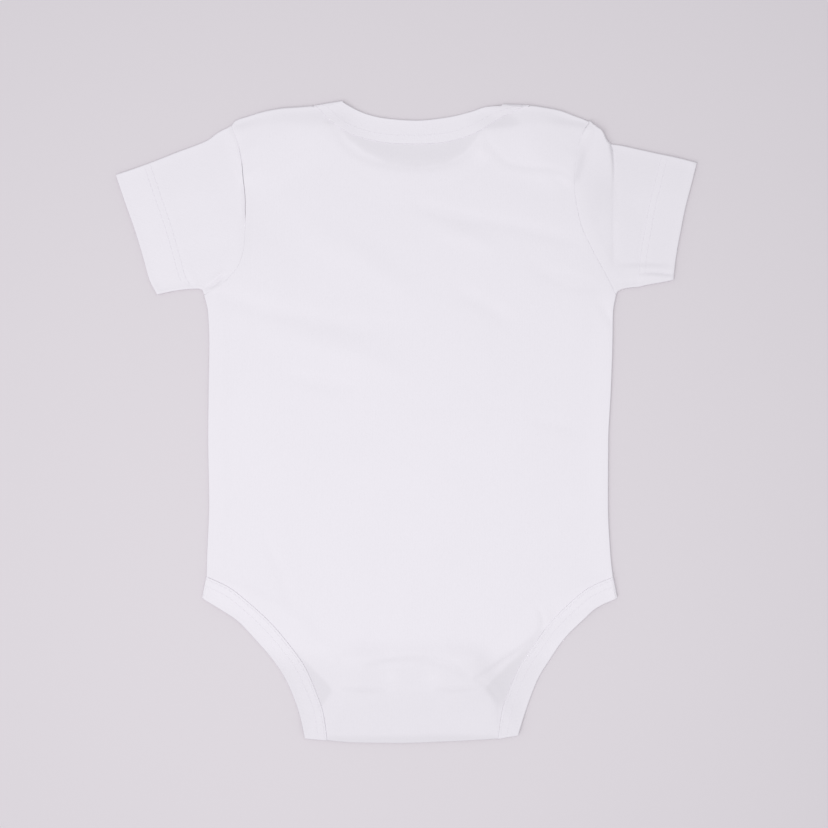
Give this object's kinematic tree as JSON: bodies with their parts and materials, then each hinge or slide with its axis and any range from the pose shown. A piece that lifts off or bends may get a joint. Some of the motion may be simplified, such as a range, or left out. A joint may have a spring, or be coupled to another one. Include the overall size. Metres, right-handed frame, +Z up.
{
  "type": "baby bodysuit",
  "caption": "Plain short-sleeved baby bodysuit laid flat with its back side up: lapped envelope shoulders, bound neck and leg openings, and a crotch flap fastened with press snaps.",
  "frame": {"origin": "centre of the bounding box, on the surface that the garment lies on", "axes": "+Y along the garment towards the neck, +X towards the wearer's right, +Z up out of the back of the garment"},
  "size_m": [0.3082, 0.3405, 0.0067],
  "materials": {
    "jersey": "matte",
    "rib": "matte",
    "snap": "satin"
  },
  "bodies": {
    "root": {"back_panel": "jersey", "front_panel": "jersey", "sleeve_left": "jersey", "sleeve_right": "jersey", "neck_binding_back": "rib", "neck_binding_front": "rib", "leg_binding_left": "rib", "leg_binding_right": "rib", "snap_left_cap": "snap", "snap_left_socket": "snap", "snap_middle_cap": "snap", "snap_middle_socket": "snap", "snap_right_cap": "snap", "snap_right_socket": "snap"}
  },
  "joints": []
}
